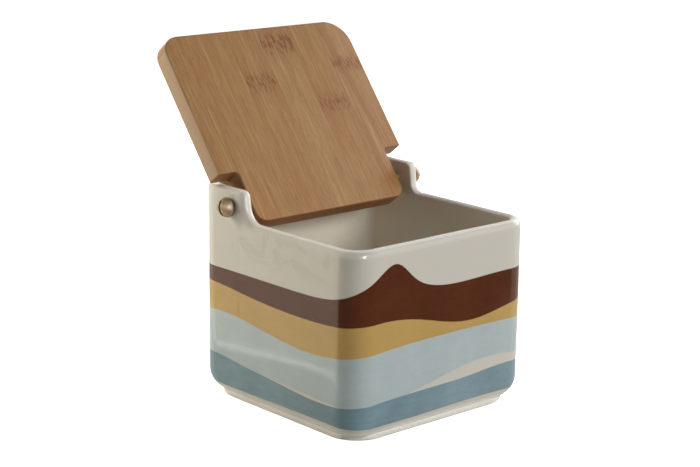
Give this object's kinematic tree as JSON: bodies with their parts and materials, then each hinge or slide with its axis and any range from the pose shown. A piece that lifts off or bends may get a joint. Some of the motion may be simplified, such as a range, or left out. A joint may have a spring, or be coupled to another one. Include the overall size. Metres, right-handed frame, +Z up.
{
  "type": "sugar bowl",
  "caption": "Square glazed ceramic sugar bowl with wavy colour bands and a bamboo lid hinged on brass screws between raised ears at the back.",
  "frame": {"origin": "middle of the flat underside of the foot", "axes": "+Z up, +X to the right along the hinge axis, -Y to the front"},
  "size_m": [0.1216, 0.1436, 0.1651],
  "materials": {
    "glazed_body": "glossy glaze in wavy bands of cream, brown, ochre, pale blue and teal",
    "bamboo": "oiled bamboo with the grain along each strip",
    "aged_brass": "dulled antique brass"
  },
  "bodies": {
    "bowl": {"bowl": "glazed_body"},
    "lid": {"lid_stave_1": "bamboo", "lid_stave_2": "bamboo", "lid_stave_3": "bamboo", "lid_stave_4": "bamboo", "lid_stave_5": "bamboo", "lid_stave_6": "bamboo", "hinge_screw_left": "aged_brass", "hinge_screw_right": "aged_brass"}
  },
  "joints": [
    {"name": "lid_hinge", "type": "hinge", "parent": "bowl", "child": "lid", "pos_m": [0, 0.031, 0.093], "axis": [1, 0, 0], "range_deg": [0, 128]}
  ]
}
